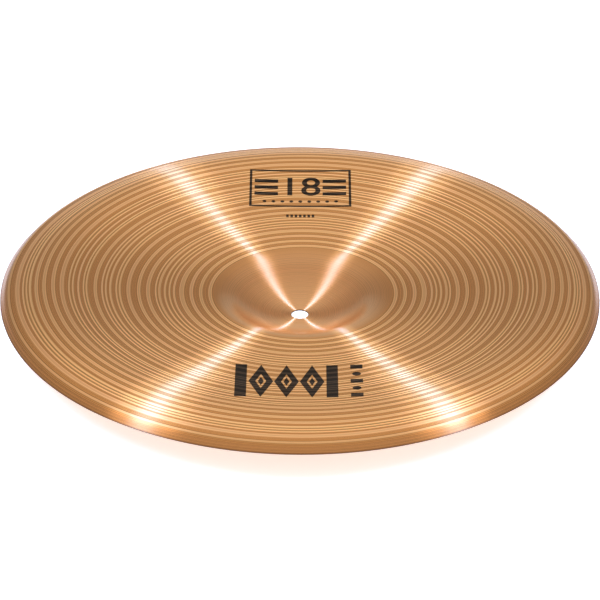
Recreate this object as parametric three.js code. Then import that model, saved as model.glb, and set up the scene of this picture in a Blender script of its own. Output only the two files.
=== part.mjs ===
// China cymbal, one spun and lathed sheet of cast bronze, bell down as it stands for an inverted mounting.
// Millimetres, +Z up. The origin is on the axis of the hole, on the flat lower face of the bell's crown.
//
// A section through the axis is a chain of arcs, each tangent to the next:
// flat crown, crown arc, foot arc, bow arc, fold arc, straight flange, lip arc and a straight lip.
import * as THREE from 'three';

// Driving dimensions of the cymbal.
const cymbalDiameter = 457.2; // 18 inches over the edge
const holeDiameter = 13; // clears the tilter's sleeve
const crownSheet = 1.0; // thickness of the bell
const rimSheet = 0.7; // thickness at the edge, after lathing
const crownFlatDiameter = 24; // flat seat for the felts, round the hole
const bellDiameter = 136; // where the bell's foot runs into the bow
const bellDepth = 19.7; // from the crown's upper face up to the end of the foot
const footRadius = 33; // arc that turns the bell's wall into the bow
const bowStartSlope = THREE.MathUtils.degToRad(3.1); // the bow's rise at the bell
const bowEndSlope = THREE.MathUtils.degToRad(9.3); // the bow's rise at the fold
const foldDiameter = 368; // where the bow runs into the fold
const foldRadius = 62; // arc over the crest
const flangeSlope = THREE.MathUtils.degToRad(13.5); // how steeply the flange falls away from the crest
const lipRadius = 8; // arc that turns the flange down into the lip
const lipSlope = THREE.MathUtils.degToRad(48); // how steeply the lip falls to the edge
const lipRun = 3; // breadth of the straight lip, measured level
const holeDeburr = 0.2; // chamfer on both edges of the hole

// Fineness of the faceted surface, in counts.
const stepsAround = 80;
const crownSteps = 7;
const footSteps = 6;
const bowSteps = 4;
const foldSteps = 4;
const lipSteps = 3;
const edgeSteps = 4;

// Colour and finish of the metal.
const bronzeColour = 0xc8915f;
const bronzeRoughness = 0.35;
const bronzeMetalness = 1;

// The bell is an S of two tangent arcs. Their common slope and the crown's radius follow from the bell's
// breadth and depth, because the sum of the two radii spans both the run and the rise.
function bellArcs() {
  const run = (bellDiameter - crownFlatDiameter) / 2 + footRadius * Math.sin(bowStartSlope);
  const rise = bellDepth + footRadius * (1 - Math.cos(bowStartSlope));
  const wallSlope = 2 * Math.atan2(rise, run);
  const crownRadius = run / Math.sin(wallSlope) - footRadius;
  return { wallSlope, crownRadius };
}

// Stations along one arc of the upper surface, which leave out the arc's first point.
// A positive radius curls upwards and a negative one curls downwards.
function arcStations(start, radius, endSlope, steps) {
  const stations = [];
  for (let step = 1; step <= steps; step += 1) {
    const slope = start.slope + ((endSlope - start.slope) * step) / steps;
    stations.push({
      r: start.r + radius * (Math.sin(slope) - Math.sin(start.slope)),
      z: start.z + radius * (Math.cos(start.slope) - Math.cos(slope)),
      slope,
    });
  }
  return stations;
}

// The upper surface from the edge of the hole to the rim, as stations with a radius, a height and a slope.
function upperStations() {
  const edgeRadius = rimSheet / 2;
  const rimR = cymbalDiameter / 2 - edgeRadius * (1 - Math.sin(lipSlope));
  const lipStartR = rimR - lipRun - lipRadius * (Math.sin(lipSlope) - Math.sin(flangeSlope));
  const bowBreadth = (foldDiameter - bellDiameter) / 2;
  const bowRadius = bowBreadth / (Math.sin(bowEndSlope) - Math.sin(bowStartSlope));
  const { wallSlope, crownRadius } = bellArcs();

  const stations = [
    { r: holeDiameter / 2 + holeDeburr, z: crownSheet, slope: 0 },
    { r: crownFlatDiameter / 2, z: crownSheet, slope: 0 },
  ];
  const extend = (radius, endSlope, steps) => {
    stations.push(...arcStations(stations.at(-1), radius, endSlope, steps));
  };
  const extendStraight = (endR) => {
    const { r, z, slope } = stations.at(-1);
    stations.push({ r: endR, z: z + (endR - r) * Math.tan(slope), slope });
  };
  extend(crownRadius, wallSlope, crownSteps);
  extend(-footRadius, bowStartSlope, footSteps);
  extend(bowRadius, bowEndSlope, bowSteps);
  extend(-foldRadius, -flangeSlope, foldSteps);
  extendStraight(lipStartR);
  extend(-lipRadius, -lipSlope, lipSteps);
  extendStraight(rimR);
  return stations;
}

// The sheet is as thick as the crown over the whole bell, and thins evenly from the bell to the edge.
function sheetAt(r) {
  const bellR = bellDiameter / 2;
  const share = Math.max(0, (r - bellR) / (cymbalDiameter / 2 - bellR));
  return crownSheet + (rimSheet - crownSheet) * share;
}

// The point square below a station, through the sheet.
function lowerPoint({ r, z, slope }) {
  const sheet = sheetAt(r);
  return new THREE.Vector2(r + sheet * Math.sin(slope), z - sheet * Math.cos(slope));
}

// The half-round edge, from the lower surface to the upper one, which leaves out both its end points.
function edgePoints(rim) {
  const upper = new THREE.Vector2(rim.r, rim.z);
  const lower = lowerPoint(rim);
  const centre = upper.clone().add(lower).divideScalar(2);
  const points = [];
  for (let step = 1; step < edgeSteps; step += 1) {
    points.push(lower.clone().rotateAround(centre, (Math.PI * step) / edgeSteps));
  }
  return points;
}

// The closed section: out along the lower surface, round the edge, back along the upper surface
// and down through the hole.
function sheetSection() {
  const stations = upperStations();
  const lower = stations.map(lowerPoint);
  const upper = stations.map(({ r, z }) => new THREE.Vector2(r, z)).reverse();
  const holeWall = [
    new THREE.Vector2(holeDiameter / 2, crownSheet - holeDeburr),
    new THREE.Vector2(holeDiameter / 2, holeDeburr),
  ];
  return [...lower, ...edgePoints(stations.at(-1)), ...upper, ...holeWall, lower[0].clone()];
}

function makeCymbal() {
  const bronze = new THREE.MeshStandardMaterial({
    color: bronzeColour,
    roughness: bronzeRoughness,
    metalness: bronzeMetalness,
  });
  const mesh = new THREE.Mesh(new THREE.LatheGeometry(sheetSection(), stepsAround), bronze);
  mesh.name = 'cymbal';
  mesh.rotation.x = Math.PI / 2; // a lathe turns about Y, and the cymbal's axis is Z
  return mesh;
}

const chinaCymbal = new THREE.Group();
chinaCymbal.add(makeCymbal());

export default chinaCymbal;
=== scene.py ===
# %% [markdown]
# # A china cymbal of lathed bronze
# The cymbal is one round sheet of cast bronze, pressed into a bell, a shallow bow and a flange that folds
# back at the edge, and then turned on a lathe. It stands bell down here, as in the photograph. The CAD
# model already holds its shape and size, so this lesson adds what a lathe and a printer leave on it:
# rings, fine tool lines, the glint of grooved metal and thin black ink.

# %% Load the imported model
import math
from collections import namedtuple

import bpy
from mathutils import Matrix, Quaternion, Vector


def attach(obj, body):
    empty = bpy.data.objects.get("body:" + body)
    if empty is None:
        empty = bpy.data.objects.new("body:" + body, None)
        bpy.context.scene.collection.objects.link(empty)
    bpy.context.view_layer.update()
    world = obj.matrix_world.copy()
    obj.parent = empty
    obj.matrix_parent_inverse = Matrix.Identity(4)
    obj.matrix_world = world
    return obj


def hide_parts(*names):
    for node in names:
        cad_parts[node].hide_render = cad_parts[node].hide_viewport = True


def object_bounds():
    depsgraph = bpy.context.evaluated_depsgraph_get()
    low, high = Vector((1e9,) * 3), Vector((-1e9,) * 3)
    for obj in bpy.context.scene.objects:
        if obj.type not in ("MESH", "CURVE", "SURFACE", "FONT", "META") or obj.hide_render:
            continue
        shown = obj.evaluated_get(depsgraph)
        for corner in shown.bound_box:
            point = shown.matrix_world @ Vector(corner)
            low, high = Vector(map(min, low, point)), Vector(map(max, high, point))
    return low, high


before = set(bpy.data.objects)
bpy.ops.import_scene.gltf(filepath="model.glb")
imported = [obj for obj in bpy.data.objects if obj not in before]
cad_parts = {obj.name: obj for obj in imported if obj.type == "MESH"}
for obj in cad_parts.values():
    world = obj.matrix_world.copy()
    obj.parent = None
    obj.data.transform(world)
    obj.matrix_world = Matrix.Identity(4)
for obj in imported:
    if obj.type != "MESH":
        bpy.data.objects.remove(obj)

MM = 0.001
cad_low, cad_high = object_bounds()
rim_radius = (cad_high.x - cad_low.x) / 2
print("CAD box in mm:", [round(side / MM, 2) for side in cad_high - cad_low])

# %% [markdown]
# ## The camera
# The photograph looks down on the cymbal from the front. The flatness of the ellipse gives the height of
# the view. The cymbal could be turned to face a fixed camera, but the CAD frame stays as it is and
# everything else is built in it, so the camera goes round to the photograph's place.

# %% Camera at the photograph's angle
PHOTO_WIDTH = 600
OPTICAL_CENTRE_X = 299.93
OPTICAL_CENTRE_Y = 291.0
PIXELS_PER_METRE = 1306
VIEW_ELEVATION = math.radians(30.5)
VIEW_ROLL = math.radians(0.225)
AIM_HEIGHT = 21.5 * MM
DISTANCE_IN_RADII = 10
view_distance = DISTANCE_IN_RADII * rim_radius

toward_camera = Vector((0, -math.cos(VIEW_ELEVATION), math.sin(VIEW_ELEVATION)))
aim = Vector((0, 0, AIM_HEIGHT))
bpy.ops.object.select_all(action="DESELECT")
bpy.ops.object.camera_add(location=aim + view_distance * toward_camera)
camera = bpy.context.object
camera.name = "photo_camera"
camera.rotation_mode = "QUATERNION"
tip_down = Quaternion((1, 0, 0), math.pi / 2 - VIEW_ELEVATION)
camera.rotation_quaternion = tip_down @ Quaternion((0, 0, 1), VIEW_ROLL)
camera.data.lens = camera.data.sensor_width * PIXELS_PER_METRE * view_distance / PHOTO_WIDTH
camera.data.shift_x = 0.5 - OPTICAL_CENTRE_X / PHOTO_WIDTH
camera.data.shift_y = OPTICAL_CENTRE_Y / PHOTO_WIDTH - 0.5
bpy.context.scene.camera = camera
print("lens in mm:", round(camera.data.lens, 1))

# %% [markdown]
# ## Shader maths as expressions
# A material is a graph of nodes. Wiring it by hand takes four lines for one sum, so a small class wraps a
# socket and lets Python's own operators add the Math nodes. Every other node comes from one method.

# %% Expressions on sockets


class Wire:
    """An output socket. Arithmetic on it adds Math nodes."""

    def __init__(self, recipe, socket):
        self.recipe = recipe
        self.socket = socket

    def maths(self, operation, *values):
        return self.recipe.node("ShaderNodeMath", {"operation": operation}, dict(enumerate(values)))

    def __add__(self, other):
        return self.maths("ADD", self, other)

    __radd__ = __add__

    def __sub__(self, other):
        return self.maths("SUBTRACT", self, other)

    def __rsub__(self, other):
        return self.maths("SUBTRACT", other, self)

    def __mul__(self, other):
        return self.maths("MULTIPLY", self, other)

    __rmul__ = __mul__


class Recipe:
    """The nodes of one material or of the world."""

    def __init__(self, owner, output_kind):
        owner.use_nodes = True
        self.tree = owner.node_tree
        self.tree.nodes.clear()
        self.surface = self.tree.nodes.new(output_kind).inputs["Surface"]

    def node(self, kind, settings=None, inputs=None, output=0):
        """One node. Its settings are set first, then its sockets get their values or links."""
        made = self.tree.nodes.new(kind)
        for name, value in (settings or {}).items():
            if name == "stops":
                self.place_stops(made.color_ramp, value)
            else:
                setattr(made, name, value)
        for name, value in (inputs or {}).items():
            if isinstance(value, Wire):
                self.tree.links.new(value.socket, made.inputs[name])
            else:
                made.inputs[name].default_value = value
        return Wire(self, made.outputs[output])

    def place_stops(self, ramp, stops):
        """Grey stops of a colour ramp, from low to high."""
        ramp.interpolation = "EASE"
        for _ in range(len(stops) - len(ramp.elements)):
            ramp.elements.new(0.5)
        for element, (position, grey) in zip(ramp.elements, stops):
            element.position = position
            element.color = (grey, grey, grey, 1)

    def blend(self, factor, first, second):
        """A colour that goes from the first to the second."""
        return self.node("ShaderNodeMix", {"data_type": "RGBA"}, {0: factor, 6: first, 7: second}, 2)

    def vector(self, operation, inputs):
        return self.node("ShaderNodeVectorMath", {"operation": operation}, inputs)

    def remap(self, value, low, high, to_low, to_high):
        """A value from low to high, moved to the range from to_low to to_high and held there."""
        return self.node("ShaderNodeMapRange", None, {0: value, 1: low, 2: high, 3: to_low, 4: to_high})

    def mix(self, factor, first, second):
        """A shader that goes from the first to the second."""
        return self.node("ShaderNodeMixShader", None, {0: factor, 1: first, 2: second})

    def crisp_metal(self, colour, roughness, anisotropy):
        """Grooved metal of one colour, whose highlights end sharply."""
        inputs = {"Color": colour, "Roughness": roughness, "Anisotropy": anisotropy}
        return self.node("ShaderNodeBsdfAnisotropic", {"distribution": "BECKMANN"}, inputs)

    def shows(self, shader):
        self.tree.links.new(shader.socket, self.surface)


def new_material(name):
    material = bpy.data.materials.new(name)
    return material, Recipe(material, "ShaderNodeOutputMaterial")


print("wires add, subtract and multiply")

# %% [markdown]
# ## Floor
# The background of the photograph is pure white. A floor that is lit to white would also light the metal
# from below, so the floor is a pale card whose missing brightness is added only for rays that come from
# the camera, or that the metal mirrors. The cymbal still casts its soft shadow on it.

# %% Floor card
FLOOR_SIZE = 40.0
FLOOR_GREY = (0.8, 0.8, 0.8, 1)
FLOOR_TOP_UP = 0.6

bpy.ops.object.select_all(action="DESELECT")
bpy.ops.mesh.primitive_plane_add(size=FLOOR_SIZE)
floor = bpy.context.object
floor.name = "floor"
floor_material, card = new_material("white_card")
floor.data.materials.append(floor_material)
paper = card.node("ShaderNodeBsdfDiffuse", None, {"Color": FLOOR_GREY})
from_camera = card.node("ShaderNodeLightPath", None, None, "Is Camera Ray")
from_gloss = card.node("ShaderNodeLightPath", None, None, "Is Glossy Ray")
from_glass = card.node("ShaderNodeLightPath", None, None, "Is Transmission Ray")
looked_at = from_camera.maths("MAXIMUM", from_camera, from_gloss.maths("MAXIMUM", from_gloss, from_glass))
glow = card.node("ShaderNodeEmission", None, {"Strength": looked_at * FLOOR_TOP_UP})
lit_paper = card.node("ShaderNodeAddShader", None, {0: paper, 1: glow})
from_below = card.node("ShaderNodeNewGeometry", None, None, "Backfacing")
no_paper = card.node("ShaderNodeBsdfTransparent")
card.shows(card.mix(from_below, lit_paper, no_paper))
print("floor card of", FLOOR_SIZE, "m, open from below")

# %% [markdown]
# ## Room light
# Grooved metal shows what stands round it, drawn out across its grooves. The room is dim near the horizon
# and bright overhead, which makes the left and right of the cymbal darker than its far side.

# %% Room light
# Each stop is the sine of an elevation and the brightness there.
ROOM_STOPS = ((0.0, 0.42), (0.45, 0.62), (0.75, 1.12), (1.0, 1.2))

world = bpy.data.worlds.new("studio_room")
bpy.context.scene.world = world
room = Recipe(world, "ShaderNodeOutputWorld")
direction = room.node("ShaderNodeTexCoord", None, None, "Generated")
height = room.node("ShaderNodeSeparateXYZ", None, {0: direction}, "Z")
sky = room.node("ShaderNodeValToRGB", {"stops": ROOM_STOPS}, {0: height})
room.shows(room.node("ShaderNodeBackground", None, {"Color": sky}))
bpy.context.scene.view_settings.view_transform = "Standard"
print("room from", ROOM_STOPS[0][1], "at the horizon to", ROOM_STOPS[-1][1], "overhead")

# %% [markdown]
# ## Two strip lamps
# The bright cross on the cymbal is the mark of a lathe. Grooves that run round a centre mirror a lamp
# wherever the direction halfway between lamp and camera stands square to the groove, and that is one
# straight line through the centre. Two lamps give two lines. So a lamp is placed the other way round: the
# line is chosen first, as a halfway direction, and the camera's direction is mirrored in it.
# A lamp that is long in the plane of its line and narrow across it keeps the line narrow. Each lamp has a
# hot, bluish tube in front of a wide, weak screen, which gives the bright line its pale core and its warm
# shoulders.

# %% Lamps from their streaks
STREAK_AZIMUTH = math.radians(59.2)
STREAK_TILT = math.radians(40)
TILT_STEP = math.radians(3)
LAMP_DISTANCE = 2.5
LAMP_LENGTH = 1.2

# The breadth in metres, the power in watts and the colour of one part of a lamp.
LampPart = namedtuple("LampPart", "breadth power colour")
TUBE = LampPart(0.24, 15.5, (0.52, 0.85, 2.0))
SCREEN = LampPart(0.75, 10.0, (1.0, 0.98, 0.95))


def lamp_direction(side, tilt):
    """Where a lamp stands whose streak runs along the streak azimuth, on the left or on the right."""
    halfway = Vector((
        side * math.sin(tilt) * math.cos(STREAK_AZIMUTH),
        -math.sin(tilt) * math.sin(STREAK_AZIMUTH),
        math.cos(tilt),
    ))
    return 2 * halfway.dot(toward_camera) * halfway - toward_camera


def add_lamp(side, part, name):
    toward_lamp = lamp_direction(side, STREAK_TILT)
    along = lamp_direction(side, STREAK_TILT + TILT_STEP) - lamp_direction(side, STREAK_TILT - TILT_STEP)
    back = toward_lamp.normalized()
    up = (along - along.dot(back) * back).normalized()
    turn = Matrix((up.cross(back), up, back)).transposed()
    bpy.ops.object.light_add(type="AREA", location=aim + LAMP_DISTANCE * back, rotation=turn.to_euler())
    lamp = bpy.context.object
    lamp.name = name
    lamp.data.shape = "RECTANGLE"
    lamp.data.size = part.breadth
    lamp.data.size_y = LAMP_LENGTH
    lamp.data.energy = part.power
    lamp.data.color = part.colour
    print(name, "at", [round(value, 2) for value in lamp.location])


for side, place in ((-1, "left"), (1, "right")):
    add_lamp(side, TUBE, "tube_" + place)
    add_lamp(side, SCREEN, "screen_" + place)

# %% [markdown]
# ## The section of the sheet
# Cut through its axis, the cymbal is a chain of arcs, each tangent to the next: flat crown, bell, foot,
# bow, fold, flange and lip. The CAD solid has a few points on each arc. A smooth skin needs many more, and
# an equation for each arc gives them at any radius, so the same driving sizes are repeated here.

# %% Driving sizes and the chain of arcs
HOLE_RADIUS = 6.5 * MM
HOLE_DEBURR = 0.2 * MM
CROWN_FLAT_RADIUS = 12 * MM
CROWN_SHEET = 1.0 * MM
RIM_SHEET = 0.7 * MM
BELL_RADIUS = 68 * MM
BELL_DEPTH = 19.7 * MM
FOOT_RADIUS = 33 * MM
BOW_START_SLOPE = math.radians(3.1)
BOW_END_SLOPE = math.radians(9.3)
FOLD_START = 184 * MM
FOLD_RADIUS = 62 * MM
FLANGE_SLOPE = math.radians(13.5)
LIP_RADIUS = 8 * MM
LIP_SLOPE = math.radians(48)
LIP_RUN = 3 * MM

# One stretch of the upper surface: where it starts, how steeply, and the radius that it bends to.
Stretch = namedtuple("Stretch", "r z slope bend")


def end_of(stretch, slope, next_bend):
    """The stretch that follows an arc, which starts where the arc has turned to the given slope."""
    r = stretch.r + stretch.bend * (math.sin(slope) - math.sin(stretch.slope))
    z = stretch.z + stretch.bend * (math.cos(stretch.slope) - math.cos(slope))
    return Stretch(r, z, slope, next_bend)


def chain_of_arcs():
    run = BELL_RADIUS - CROWN_FLAT_RADIUS + FOOT_RADIUS * math.sin(BOW_START_SLOPE)
    rise = BELL_DEPTH + FOOT_RADIUS * (1 - math.cos(BOW_START_SLOPE))
    wall_slope = 2 * math.atan2(rise, run)
    bell_bend = run / math.sin(wall_slope) - FOOT_RADIUS
    bow_bend = (FOLD_START - BELL_RADIUS) / (math.sin(BOW_END_SLOPE) - math.sin(BOW_START_SLOPE))
    lip_start = sheet_end - LIP_RUN - LIP_RADIUS * (math.sin(LIP_SLOPE) - math.sin(FLANGE_SLOPE))
    crown = Stretch(HOLE_RADIUS, CROWN_SHEET, 0.0, None)
    bell = Stretch(CROWN_FLAT_RADIUS, CROWN_SHEET, 0.0, bell_bend)
    foot = end_of(bell, wall_slope, -FOOT_RADIUS)
    bow = end_of(foot, BOW_START_SLOPE, bow_bend)
    fold = end_of(bow, BOW_END_SLOPE, -FOLD_RADIUS)
    flange = end_of(fold, -FLANGE_SLOPE, None)
    lip_height = flange.z - (lip_start - flange.r) * math.tan(FLANGE_SLOPE)
    lip_arc = Stretch(lip_start, lip_height, -FLANGE_SLOPE, -LIP_RADIUS)
    lip = end_of(lip_arc, -LIP_SLOPE, None)
    return [crown, bell, foot, bow, fold, flange, lip_arc, lip]


sheet_end = rim_radius - RIM_SHEET / 2 * (1 - math.sin(LIP_SLOPE))
stretches = chain_of_arcs()
print("stretches start at mm:", [round(stretch.r / MM, 1) for stretch in stretches])

# %% [markdown]
# ## The sheet at any radius
# Later steps ask for the height, the slope or the thickness of the sheet at some radius. Depths are
# measured square to the smooth upper surface, so that the sheet keeps its thickness on a steep wall.

# %% The sheet at any radius
CREST_SEARCH = range(190, 205)  # radii in mm


def upper_surface(r):
    """Height and slope of the smooth upper surface."""
    start = [stretch for stretch in stretches if stretch.r <= r][-1]
    if start.bend is None:
        return start.z + (r - start.r) * math.tan(start.slope), start.slope
    slope = math.asin(math.sin(start.slope) + (r - start.r) / start.bend)
    return start.z + start.bend * (math.cos(start.slope) - math.cos(slope)), slope


def sheet_thickness(r):
    """The bell is as thick as the crown, and the sheet thins evenly from there to the edge."""
    share = max(0.0, (r - BELL_RADIUS) / (rim_radius - BELL_RADIUS))
    return CROWN_SHEET + (RIM_SHEET - CROWN_SHEET) * share


def below_surface(r, depth):
    """The point that lies square below the upper surface, at a depth."""
    z, slope = upper_surface(r)
    return Vector((r + depth * math.sin(slope), 0, z - depth * math.cos(slope)))


crest = max(upper_surface(r * MM)[0] for r in CREST_SEARCH)
print("crest of the fold at mm:", round(crest / MM, 2))

# %% [markdown]
# ## The lathed rings
# The lathe leaves raised ridges with flat valleys between them. Their breadths and gaps follow no rule, so
# they are a list, read off an enlarged strip of the photograph at the real size. They could be painted on,
# but then they would vanish from the mesh, so they are cut into the section itself. They are cut in and
# never raised, so that the cymbal keeps its size. Along both edges of each ridge the metal stands highest.
# There the finish paints a bright line, a painted highlight, and it paints the valleys darker, a painted
# shade.

# %% Ridges of the upper side
# The inner and outer radius of each ridge, in mm.
RIDGES = (
    (69.7, 72.7), (76.9, 79.8), (84.1, 87.1), (91, 94.9), (97.8, 99.7), (101.4, 103), (104.8, 106.6),
    (108.8, 110.9), (111.9, 113.4), (116.9, 120.1), (124.2, 127), (131.9, 135), (139.2, 140.9),
    (141.8, 143.4), (146.3, 148.2), (149.8, 151.4), (152.6, 154.2), (157.2, 160), (164.4, 166),
    (166.7, 168.2), (170.6, 172.3), (174.8, 176.4), (177.6, 179.2), (182.2, 185.6), (188.9, 192),
    (195.7, 198.7), (201.7, 204.4), (206.5, 208.4), (209.2, 210.6), (211.5, 212.9), (214.4, 217.6),
    (221.1, 223),
)
VALLEY_DEPTH = 0.05 * MM
CREST_LINE = 0.65 * MM
CREST_SHARE = 0.36  # of a narrow ridge's breadth
MIDDLE_SHARE = 0.55  # how high the middle of a broad ridge stands
BROAD_RIDGE = 1.9 * MM
FLOOR_SHARE = 0.12  # how much higher a valley's floor is than its edges
FLOOR_EDGE = 0.6 * MM


def crest_line(breadth):
    return min(CREST_LINE, CREST_SHARE * breadth)


def ridge_height(r):
    """0 at the edges of a valley and 1 on the crest lines of a ridge."""
    nearest = 1.0
    for inner, outer in RIDGES:
        inner_edge = inner * MM
        outer_edge = outer * MM
        if inner_edge < r < outer_edge:
            breadth = outer_edge - inner_edge
            middle = 1.0 if breadth < BROAD_RIDGE else MIDDLE_SHARE
            share = min(r - inner_edge, outer_edge - r) / crest_line(breadth)
            if share < 1:
                return math.sqrt(math.sin(share * math.pi / 2))
            return 1 + (middle - 1) * min(1.0, 2 * (share - 1))
        nearest = min(nearest, abs(r - inner_edge) / FLOOR_EDGE, abs(r - outer_edge) / FLOOR_EDGE)
    return FLOOR_SHARE * nearest


print(len(RIDGES), "ridges from", RIDGES[0][0], "to", RIDGES[-1][1], "mm radius")

# %% [markdown]
# ## Points of the section
# A ridge needs points at its edges, on its crest lines and on its middle. A valley is flat and needs few.
# The underside of a cymbal is turned with a coarser feed, so its rings are even waves and need fewer
# points. In all, the points times the steps round the axis must stay within what one piece may have.

# %% Radii with points
BELL_STEP = 1.15 * MM
FLANGE_STEP = 1.1 * MM
UNDER_STEP = 2.2 * MM
UNDER_PITCH = 8.8 * MM
UNDER_DEPTH = 0.05 * MM
EDGE_STEPS = 8
RIDGE_POINTS = (0, 0.4, 1, 1.5)  # in crest lines from either edge of a ridge
VALLEY_POINTS = (0.22, 0.78)  # in shares of a valley's breadth
RADIUS_DIGITS = 7  # decimals of a metre, beyond which two radii are one


def spread(start, end, step):
    """Even radii from start up to end, about one step apart."""
    count = max(1, round((end - start) / step))
    return [start + (end - start) * index / count for index in range(count + 1)]


def ridge_radii(inner, outer):
    line = crest_line(outer - inner)
    rising = [inner + share * line for share in RIDGE_POINTS]
    falling = [outer - share * line for share in reversed(RIDGE_POINTS)]
    return rising + [(inner + outer) / 2] + falling


def upper_radii():
    radii = spread(HOLE_RADIUS + HOLE_DEBURR, CROWN_FLAT_RADIUS, BELL_STEP)
    radii += spread(CROWN_FLAT_RADIUS, RIDGES[0][0] * MM, BELL_STEP)
    for (inner, outer), (following, _) in zip(RIDGES, RIDGES[1:]):
        gap = (following - outer) * MM
        radii += ridge_radii(inner * MM, outer * MM)
        radii += [outer * MM + share * gap for share in VALLEY_POINTS]
    radii += ridge_radii(RIDGES[-1][0] * MM, RIDGES[-1][1] * MM)
    radii += spread(RIDGES[-1][1] * MM, sheet_end, FLANGE_STEP)
    return sorted({round(r, RADIUS_DIGITS) for r in radii})


def under_wave(r):
    """0 on the crests of the underside's waves and 1 between them."""
    if r < BELL_RADIUS or r > stretches[-2].r:
        return 0.0
    return 0.5 - 0.5 * math.cos(2 * math.pi * (r - BELL_RADIUS) / UNDER_PITCH)


print(len(upper_radii()), "radii on the upper side")

# %% [markdown]
# ## The closed section
# The points go once round the cut sheet, so the spun skin encloses the metal and has no open edge.

# %% The closed section


def section_points():
    """Out along the underside, round the edge, back along the upper side and down through the hole."""
    points = []
    for r in spread(HOLE_RADIUS + HOLE_DEBURR, sheet_end, UNDER_STEP):
        points.append(below_surface(r, sheet_thickness(r) - UNDER_DEPTH * under_wave(r)))
    upper = upper_surface(sheet_end)
    edge = Vector((sheet_end, 0, upper[0]))
    middle = (edge + points[-1]) / 2
    arm = points[-1] - middle
    for step in range(1, EDGE_STEPS):
        points.append(middle + Matrix.Rotation(-math.pi * step / EDGE_STEPS, 3, "Y") @ arm)
    for r in reversed(upper_radii()):
        depth = VALLEY_DEPTH * (1 - ridge_height(r)) if r > RIDGES[0][0] * MM else 0
        points.append(below_surface(r, depth))
    points.append(Vector((HOLE_RADIUS, 0, CROWN_SHEET - HOLE_DEBURR)))
    points.append(Vector((HOLE_RADIUS, 0, HOLE_DEBURR)))
    return points


section = section_points()
print("section of", len(section), "points")

# %% [markdown]
# ## Drawing the section
# The section is drawn as by hand, one point extruded from the last. One more edge closes it.

# %% Draw the section


def draw_section(points):
    """A new object that holds the points as one line, still open."""
    bpy.ops.object.select_all(action="DESELECT")
    bpy.ops.mesh.primitive_plane_add(size=CROWN_SHEET, location=points[0])
    bpy.ops.object.transform_apply(location=True)
    bpy.ops.object.mode_set(mode="EDIT")
    bpy.ops.mesh.merge(type="CENTER")
    for start, end in zip(points, points[1:]):
        bpy.ops.mesh.extrude_vertices_move(TRANSFORM_OT_translate={"value": end - start})
    bpy.ops.mesh.select_all(action="SELECT")
    bpy.ops.object.mode_set(mode="OBJECT")
    return bpy.context.object


def close_section(drawn):
    """An edge from the last point back to the first."""
    degree = [0] * len(drawn.data.vertices)
    for edge in drawn.data.edges:
        for index in edge.vertices:
            degree[index] += 1
    for index, vertex in enumerate(drawn.data.vertices):
        vertex.select = degree[index] == 1
    for edge in drawn.data.edges:
        edge.select = False
    bpy.ops.object.mode_set(mode="EDIT")
    bpy.ops.mesh.edge_face_add()
    bpy.ops.mesh.select_all(action="SELECT")
    bpy.ops.object.mode_set(mode="OBJECT")


cymbal = draw_section(section)
close_section(cymbal)
cymbal.name = "lathed_cymbal"
print("drawn with", len(cymbal.data.vertices), "vertices and", len(cymbal.data.edges), "edges")

# %% [markdown]
# ## Turning the sheet
# The section is spun once round the axis. That leaves a double seam and may turn the skin inside out, so
# doubles are merged and the normals are made to point outwards.

# %% Spin
STEPS_AROUND = 180
SEAM_GAP = 0.002 * MM

bpy.ops.object.mode_set(mode="EDIT")
bpy.ops.mesh.select_all(action="SELECT")
bpy.ops.mesh.spin(steps=STEPS_AROUND, angle=2 * math.pi, center=(0, 0, 0), axis=(0, 0, 1))
bpy.ops.mesh.select_all(action="SELECT")
bpy.ops.mesh.remove_doubles(threshold=SEAM_GAP)
bpy.ops.mesh.normals_make_consistent(inside=False)
bpy.ops.object.mode_set(mode="OBJECT")
cymbal.data.name = "lathed_cymbal"
print("spun to", len(cymbal.data.polygons), "faces")

# %% [markdown]
# ## Tracks that the finish can follow
# The finish has to know where a ridge is and how far from the axis a point lies. Two attributes on the
# vertices tell it. They are written before the rings are moved, so they stay with the rings.
# The turned rings of the photograph lie a little to the right of the hole and the rim, perhaps because the
# sheet was turned before its edge was trimmed. So the rings are shifted, and the shift fades out towards
# the bell and the edge.

# %% Attributes for ridges and radius
RING_SHIFT = 2.3 * MM
SHIFT_IN = (55 * MM, 69 * MM)
SHIFT_OUT = (200 * MM, 226 * MM)


def fade(value, start, end):
    """A smooth step from 0 at start to 1 at end."""
    share = min(1.0, max(0.0, (value - start) / (end - start)))
    return share * share * (3 - 2 * share)


def ring_shift(r):
    return RING_SHIFT * fade(r, *SHIFT_IN) * (1 - fade(r, *SHIFT_OUT))


def mark_tracks(mesh, radii, heights):
    for name, values in (("track", radii), ("ridge", heights)):
        attribute = mesh.attributes.get(name) or mesh.attributes.new(name, "FLOAT", "POINT")
        attribute.data.foreach_set("value", values)


radii = [math.hypot(vertex.co.x, vertex.co.y) for vertex in cymbal.data.vertices]
heights = [
    ridge_height(r) if vertex.normal.z > 0 else 1 - under_wave(r)
    for vertex, r in zip(cymbal.data.vertices, radii)
]
mark_tracks(cymbal.data, radii, heights)
for vertex, r in zip(cymbal.data.vertices, radii):
    vertex.co.x += ring_shift(r)
cymbal.data.update()
print("rings shifted by up to", RING_SHIFT / MM, "mm")
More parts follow.
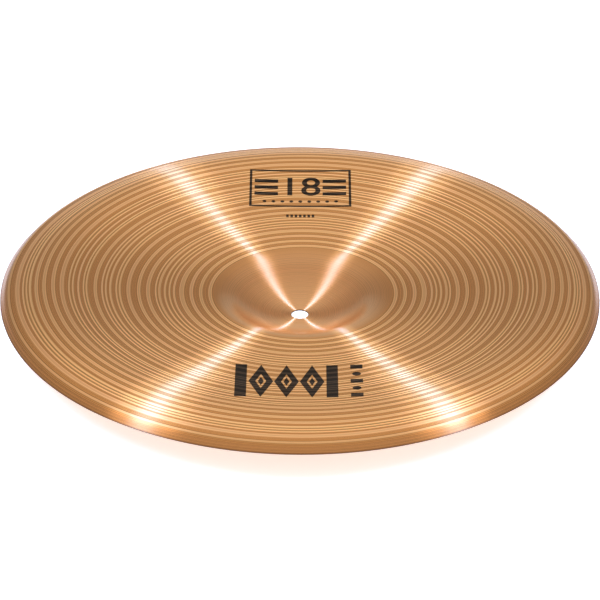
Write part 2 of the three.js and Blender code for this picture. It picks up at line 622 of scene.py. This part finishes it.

# %% [markdown]
# ## The finish of the bronze
# A lathed surface is smooth along its grooves and rough across them. One shader can be told so by its
# anisotropy, but it spreads a lamp into a wide haze. The eye sees two things on the real sheet: that haze,
# from the rough valleys, and a crisp streak, from the fine tool lines. So two metal shaders are mixed. The
# colour is painted paler on the ridges, a painted highlight, and darker in the valleys, a painted shade,
# and each fine line differs a little from the next.
# A third, mirror-like metal takes a share that grows at flat angles, as on any coat. The near wall of the
# bell then mirrors the far wall with its two streaks, and the far flange has a weak pale sheen.
# The streak could take its colours from one blend, but an exported model keeps a blend only where it feeds
# a base colour. Each colour of the streak is a shader of its own, and the shaders are mixed.

# %% Bronze
# The colours of the haze and of the streak, in a valley, on a ridge and in the bell.
# The valley colours are a painted shade and the ridge colours a painted highlight.
VALLEY_PAINTED_SHADE = (0.46, 0.151, 0.033, 1)
RIDGE_PAINTED_HIGHLIGHT = (1.0, 0.56, 0.25, 1)
BELL_BRONZE = (0.5, 0.168, 0.034, 1)
VALLEY_STREAK_SHADE = (0.5, 0.29, 0.1, 1)
RIDGE_STREAK_HIGHLIGHT = (0.9, 0.56, 0.27, 1)
BELL_STREAK = (1.0, 0.68, 0.37, 1)
GLAZE = (1.0, 0.71, 0.46, 1)
SHEEN = (1.0, 0.98, 0.95, 1)
# The lip is painted a darker brown, a painted shade.
LIP_PAINTED_SHADE = (0.25, 0.092, 0.026, 1)
# The trimmed edge and the wall of the hole are painted dark, a painted shade.
EDGE_PAINTED_SHADE = (0.16, 0.072, 0.034, 1)
HOLE_PAINTED_SHADE = (0.04, 0.02, 0.012, 1)
BLACK = (0.0, 0.0, 0.0, 1)
OLIVE_TINT = (0.99, 1.0, 0.96, 1)
ROSE_TINT = (1.02, 0.99, 1.04, 1)
STREAK_SHARE = 0.35
STREAK_ANISOTROPY = 0.85
HAZE_ROUGHNESS = (0.26, 0.38)
STREAK_ROUGHNESS = (0.34, 0.39)
BELL_ROUGHNESS = 0.2
BELL_HAZE = 0.16
GLAZE_ROUGHNESS = 0.13
GLAZE_ANISOTROPY = 0.8
ALONG_THE_GROOVE = 0.25  # of a turn
# The radii over which one finish turns into the next.
BELL_FADE = (55 * MM, 70 * MM)
WALL_FADE = (66 * MM, 69 * MM)
FLANGE_FADE = (185 * MM, 200 * MM)
LIP_FADE = (219 * MM, 223 * MM)
EDGE_LINE = 0.9 * MM
LIP_SHADE_SHARE = 0.3
# How far the surface is turned away, from 0 head-on to 1 edge-on, where the gloss and the sheen set in.
GLOSS_FACING = (0.5, 0.75)
SHEEN_FACING = (0.6, 0.72)
FACING_BLEND = 0.5  # makes that measure one less the cosine of the angle
WALL_GLOSS = 0.5
SHEEN_SHARE = 0.12
LINE_FREQUENCY = 2500.0
LINE_DETAIL = 3.0
BAND_FREQUENCY = 160.0
BAND_DETAIL = 1.0
NOISE_RANGE = (0.3, 0.7)
LINE_CONTRAST = 0.14
BELL_CONTRAST = 0.1
STRONGEST_LINE = 1 + LINE_CONTRAST + BELL_CONTRAST
ROUGHNESS_CONTRAST = 0.05
SHARP_ANGLE = math.radians(35)


def tool_lines(recipe, track, frequency, detail):
    """Noise that changes only from one radius to the next, from 0 to 1."""
    settings = {"noise_dimensions": "1D"}
    lines = recipe.node("ShaderNodeTexNoise", settings, {"W": track, "Scale": frequency, "Detail": detail})
    return recipe.remap(lines, *NOISE_RANGE, 0.0, 1.0)


def lathed_bronze():
    material, bronze = new_material("lathed_bronze")
    ridge = bronze.node("ShaderNodeAttribute", {"attribute_name": "ridge"}, None, "Fac")
    track = bronze.node("ShaderNodeAttribute", {"attribute_name": "track"}, None, "Fac")
    lines = tool_lines(bronze, track, LINE_FREQUENCY, LINE_DETAIL)
    bands = tool_lines(bronze, track, BAND_FREQUENCY, BAND_DETAIL)
    # A thin band at the trimmed edge and the wall of the hole are given a painted shade.
    trimmed = bronze.remap(track, sheet_end - EDGE_LINE, sheet_end, 0.0, 1.0)
    drilled = bronze.remap(track, HOLE_RADIUS, HOLE_RADIUS + HOLE_DEBURR, 1.0, 0.0)
    cut = trimmed.maths("MAXIMUM", trimmed, drilled)
    in_bell = bronze.remap(track, *BELL_FADE, 1.0, 0.0)
    # The lip takes a share of painted shade, a darker brown.
    lip_shade = bronze.remap(track, *LIP_FADE, 0.0, LIP_SHADE_SHARE)
    strength = 1 + (LINE_CONTRAST + BELL_CONTRAST * in_bell) * (2 * lines - 1)
    wobble = ROUGHNESS_CONTRAST * (lines - 0.5)

    # Ridges get a painted highlight and valleys a painted shade in the base colour.
    colour = bronze.blend(in_bell, bronze.blend(ridge, VALLEY_PAINTED_SHADE, RIDGE_PAINTED_HIGHLIGHT), BELL_BRONZE)
    colour = bronze.vector("MULTIPLY", {0: colour, 1: bronze.blend(bands, OLIVE_TINT, ROSE_TINT)})
    colour = bronze.vector("SCALE", {0: colour, "Scale": strength})
    cut_painted_shade = bronze.blend(drilled, EDGE_PAINTED_SHADE, HOLE_PAINTED_SHADE)
    haze = bronze.node("ShaderNodeBsdfPrincipled", None, {
        "Base Color": bronze.blend(cut, bronze.blend(lip_shade, colour, LIP_PAINTED_SHADE), cut_painted_shade),
        "Metallic": 1.0,
        "Roughness": bronze.remap(ridge, 0.0, 1.0, *HAZE_ROUGHNESS) + BELL_HAZE * in_bell + wobble,
        "Anisotropic": 1.0,
        "Anisotropic Rotation": ALONG_THE_GROOVE,
    })
    streak_roughness = bronze.remap(ridge, 0.0, 1.0, *STREAK_ROUGHNESS) + BELL_ROUGHNESS * in_bell + wobble

    def streak_of(colour, strongest=1.0):
        lit = [strongest * part for part in colour[:3]] + [1]
        return bronze.crisp_metal(lit, streak_roughness, STREAK_ANISOTROPY)

    # The streak's valleys get a painted shade and its ridges a painted highlight.
    valley_streak_shade = streak_of(VALLEY_STREAK_SHADE, STRONGEST_LINE)
    ridge_streak_highlight = streak_of(RIDGE_STREAK_HIGHLIGHT, STRONGEST_LINE)
    bell_streak = streak_of(BELL_STREAK, STRONGEST_LINE)
    cut_shade_streak = bronze.mix(drilled, streak_of(EDGE_PAINTED_SHADE), streak_of(HOLE_PAINTED_SHADE))
    streak = bronze.mix(in_bell, bronze.mix(ridge, valley_streak_shade, ridge_streak_highlight), bell_streak)
    streak = bronze.mix(1 - strength * (1 / STRONGEST_LINE), streak, streak_of(BLACK))
    streak = bronze.mix(cut, bronze.mix(lip_shade, streak, streak_of(LIP_PAINTED_SHADE)), cut_shade_streak)
    metal = bronze.mix(STREAK_SHARE, haze, streak)

    bell_wall = bronze.remap(track, *WALL_FADE, 1.0, 0.0)
    pale_gloss = bronze.crisp_metal(SHEEN, GLAZE_ROUGHNESS, GLAZE_ANISOTROPY)
    warm_gloss = bronze.crisp_metal(GLAZE, GLAZE_ROUGHNESS, GLAZE_ANISOTROPY)
    facing = bronze.node("ShaderNodeLayerWeight", None, {"Blend": FACING_BLEND}, "Facing")
    on_flange = bronze.remap(track, *FLANGE_FADE, 0.0, 1.0)
    wall_gloss = bell_wall * bronze.remap(facing, *GLOSS_FACING, 0.0, WALL_GLOSS)
    sheen = on_flange * bronze.remap(facing, *SHEEN_FACING, 0.0, SHEEN_SHARE)
    mirrored = (1 - cut) * (wall_gloss + sheen)
    bronze.shows(bronze.mix(mirrored, metal, bronze.mix(bell_wall, pale_gloss, warm_gloss)))
    return material


bronze_material = lathed_bronze()
cymbal.data.materials.append(bronze_material)
bpy.ops.object.select_all(action="DESELECT")
cymbal.select_set(True)
bpy.context.view_layer.objects.active = cymbal
bpy.ops.object.shade_smooth_by_angle(angle=SHARP_ANGLE)
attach(cymbal, "root")
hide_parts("cymbal")
print("bronze on", cymbal.name, "with", 2 * len(cymbal.data.polygons), "triangles")

# %% [markdown]
# ## Printed marks
# Black ink gives the size in plain numerals on the far side, and plain bars, dots and diamonds on the near
# side. It is screen-printed after the lathe has done its work, so it follows the rings. It could be painted
# into the material, but the edge of a mark would then depend on a picture or on noise. So it is a film of
# its own, cut out by upright stamps in the shapes of the marks.

# %% Stamps
STAMP_HEIGHT = 60 * MM
SQUARE_TURN = math.radians(45)
DOT_CORNERS = 24
NUMERAL_WEIGHT = 0.01  # how far the outline is moved out, as a share of the height


def stamp(corners, centre, size, line=0.0, turn=0.0):
    """An upright block with a regular outline, stretched to a size. With a line, only its border."""
    bpy.ops.object.select_all(action="DESELECT")
    bpy.ops.mesh.primitive_circle_add(vertices=corners, radius=MM, fill_type="NGON", rotation=(0, 0, turn))
    bpy.ops.object.transform_apply(rotation=True)
    block = bpy.context.object
    block.scale = (size[0] * MM / block.dimensions.x, size[1] * MM / block.dimensions.y, 1)
    block.location = (centre[0] * MM, centre[1] * MM, 0)
    bpy.ops.object.transform_apply(location=True, scale=True)
    bpy.ops.object.mode_set(mode="EDIT")
    bpy.ops.mesh.select_all(action="SELECT")
    if line:
        bpy.ops.mesh.inset(thickness=line * MM)
        bpy.ops.mesh.delete(type="FACE")
        bpy.ops.mesh.select_all(action="SELECT")
    bpy.ops.mesh.extrude_region_move(TRANSFORM_OT_translate={"value": (0, 0, STAMP_HEIGHT)})
    bpy.ops.mesh.select_all(action="SELECT")
    bpy.ops.mesh.normals_make_consistent(inside=False)
    bpy.ops.object.mode_set(mode="OBJECT")
    return block


def bar(x, y, width, height, line=0.0):
    return stamp(4, (x, y), (width, height), line, SQUARE_TURN)


def diamond(x, y, width, height, line=0.0):
    return stamp(4, (x, y), (width, height), line)


def dot(x, y, width):
    return stamp(DOT_CORNERS, (x, y), (width, width))


def numerals(words, x, y, height):
    """Upright blocks in the shape of plain numerals."""
    bpy.ops.object.select_all(action="DESELECT")
    bpy.ops.object.text_add()
    written = bpy.context.object
    written.data.body = words
    written.data.align_x = "CENTER"
    written.data.align_y = "CENTER"
    written.data.size = height * MM
    written.data.offset = NUMERAL_WEIGHT * height * MM
    written.data.extrude = STAMP_HEIGHT / 2
    bpy.ops.object.convert(target="MESH")
    written = bpy.context.object
    written.location = (x * MM, y * MM, STAMP_HEIGHT / 2)
    bpy.ops.object.transform_apply(location=True)
    return written


print("stamps are", STAMP_HEIGHT / MM, "mm high")

# %% [markdown]
# ## The film of ink
# A patch of the upper skin is thickened by a few hundredths of a millimetre and cut with the stamps. It is
# sunk a little into the metal, so that no gap shows under its edge.

# %% Ink film
FILM = 0.03 * MM
FILM_SINK = 0.01 * MM
PATCH_MARGIN = 3 * MM
LOW_CORNER = 0  # places of the two extreme corners in the list that a bounding box gives
HIGH_CORNER = 6


def joined(blocks):
    bpy.ops.object.select_all(action="DESELECT")
    for block in blocks:
        block.select_set(True)
    bpy.context.view_layer.objects.active = blocks[0]
    bpy.ops.object.join()
    return bpy.context.object


def skin_patch(name, low, high):
    """A copy of the upper skin between two corners."""
    bpy.ops.object.select_all(action="DESELECT")
    cymbal.select_set(True)
    bpy.context.view_layer.objects.active = cymbal
    bpy.ops.object.duplicate()
    patch = bpy.context.object
    patch.name = name
    patch.data.name = name
    patch.data.materials.clear()
    for polygon in patch.data.polygons:
        inside = low.x < polygon.center.x < high.x and low.y < polygon.center.y < high.y
        polygon.select = not (inside and polygon.normal.z > 0)
    for edge in patch.data.edges:
        edge.select = False
    for vertex in patch.data.vertices:
        vertex.select = False
    bpy.ops.object.mode_set(mode="EDIT")
    bpy.ops.mesh.select_mode(type="FACE")
    bpy.ops.mesh.delete(type="FACE")
    bpy.ops.object.mode_set(mode="OBJECT")
    return patch


def print_marks(name, blocks):
    """A film of ink in the shape of the blocks, which are used up."""
    block = joined(blocks)
    corners = [Vector(corner) for corner in block.bound_box]
    margin = Vector((PATCH_MARGIN, PATCH_MARGIN, 0))
    film = skin_patch(name, corners[LOW_CORNER] - margin, corners[HIGH_CORNER] + margin)
    thicken = film.modifiers.new("thicken", "SOLIDIFY")
    thicken.thickness = FILM
    thicken.offset = 1 - 2 * FILM_SINK / FILM
    bpy.ops.object.modifier_apply(modifier=thicken.name)
    cut = film.modifiers.new("cut", "BOOLEAN")
    cut.operation = "INTERSECT"
    cut.solver = "EXACT"
    cut.object = block
    bpy.ops.object.modifier_apply(modifier=cut.name)
    bpy.data.objects.remove(block)
    radii = [math.hypot(vertex.co.x - RING_SHIFT, vertex.co.y) for vertex in film.data.vertices]
    mark_tracks(film.data, radii, [ridge_height(r) for r in radii])
    film.data.materials.append(ink_material)
    bpy.ops.object.shade_smooth_by_angle(angle=SHARP_ANGLE)
    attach(film, "root")
    print(name, "with", len(film.data.polygons), "faces")


print("ink lies", round((FILM - FILM_SINK) / MM, 3), "mm proud of the metal")

# %% [markdown]
# ## Ink
# The ink is nearly black and half dull. On the ridges it has fine paler lines, a painted highlight.

# %% Ink
INK = (0.006, 0.004, 0.002, 1)
INK_PAINTED_GLINT = (0.11, 0.066, 0.034, 1)
INK_GLOSS_TINT = (0.9, 0.58, 0.35, 1)
INK_GLOSS = 0.04
INK_ROUGHNESS = 0.34
INK_LINE_ROUGHNESS = 0.1
INK_ANISOTROPY = 0.8


def printing_ink():
    material, ink = new_material("printing_ink")
    ridge = ink.node("ShaderNodeAttribute", {"attribute_name": "ridge"}, None, "Fac")
    track = ink.node("ShaderNodeAttribute", {"attribute_name": "track"}, None, "Fac")
    lines = tool_lines(ink, track, LINE_FREQUENCY, LINE_DETAIL)
    # Fine lines on the ridges get a painted highlight in the base colour.
    ink.shows(ink.node("ShaderNodeBsdfPrincipled", None, {
        "Base Color": ink.blend(ridge * lines, INK, INK_PAINTED_GLINT),
        "Roughness": INK_ROUGHNESS + INK_LINE_ROUGHNESS * lines,
        "Specular IOR Level": INK_GLOSS,
        "Specular Tint": INK_GLOSS_TINT,
        "Anisotropic": INK_ANISOTROPY,
        "Anisotropic Rotation": ALONG_THE_GROOVE,
    }))
    return material


ink_material = printing_ink()
print("ink is", ink_material.name)

# %% [markdown]
# ## Printing
# Each mark is a list of stamps. X runs to the viewer's right and Y away from the viewer.

# %% Print the marks
# Places and sizes in mm, a size as its width and its height.
NUMERAL_Y = 152.5
NUMERAL_HEIGHT = 34
FRAME_Y = 151
FRAME_SIZE = (82, 50)
FRAME_LINE = 2
SIDE_BAR_X = 27.5
SIDE_BAR_ROWS = (144, 152.5, 161)
SIDE_BAR_SIZE = (19, 4.4)
DOT_Y = 133.5
DOT_PITCH = 7.2
DOT_WIDTH = 3.2
TICK_Y = 113.5
TICK_PITCH = 3.4
TICK_SIZE = (2.1, 3.6)

size_mark = [numerals("18", 0, NUMERAL_Y, NUMERAL_HEIGHT)]
size_mark += [bar(0, FRAME_Y, *FRAME_SIZE, FRAME_LINE)]
size_mark += [bar(side * SIDE_BAR_X, y, *SIDE_BAR_SIZE) for side in (-1, 1) for y in SIDE_BAR_ROWS]
size_mark += [dot(DOT_PITCH * place, DOT_Y, DOT_WIDTH) for place in range(-4, 5)]
size_mark += [bar(TICK_PITCH * place, TICK_Y, *TICK_SIZE) for place in range(-3, 4)]
print_marks("printed_size_mark", size_mark)

ORNAMENT_Y = -138.5
POST_COLUMNS = (-42.7, 23.7)
POST_SIZE = (8.5, 54)
DIAMOND_COLUMNS = (-28.1, -9.5, 9.1)
DIAMOND_SIZE = (18, 54)
DIAMOND_LINE = 4.8
INNER_DIAMOND_SIZE = (4.4, 14)

ornament = [bar(x, ORNAMENT_Y, *POST_SIZE) for x in POST_COLUMNS]
for x in DIAMOND_COLUMNS:
    ornament.append(diamond(x, ORNAMENT_Y, *DIAMOND_SIZE, DIAMOND_LINE))
    ornament.append(diamond(x, ORNAMENT_Y, *INNER_DIAMOND_SIZE))
print_marks("printed_ornament", ornament)

COLUMN_X = 41.5
COLUMN_BAR_ROWS = (-114.5, -138, -161.5)
COLUMN_BAR_SIZE = (9, 6.5)
COLUMN_DOT_ROWS = (-126.2, -149.8)
COLUMN_DOT_WIDTH = 6.5

column = [bar(COLUMN_X, y, *COLUMN_BAR_SIZE) for y in COLUMN_BAR_ROWS]
column += [dot(COLUMN_X, y, COLUMN_DOT_WIDTH) for y in COLUMN_DOT_ROWS]
print_marks("printed_bars", column)
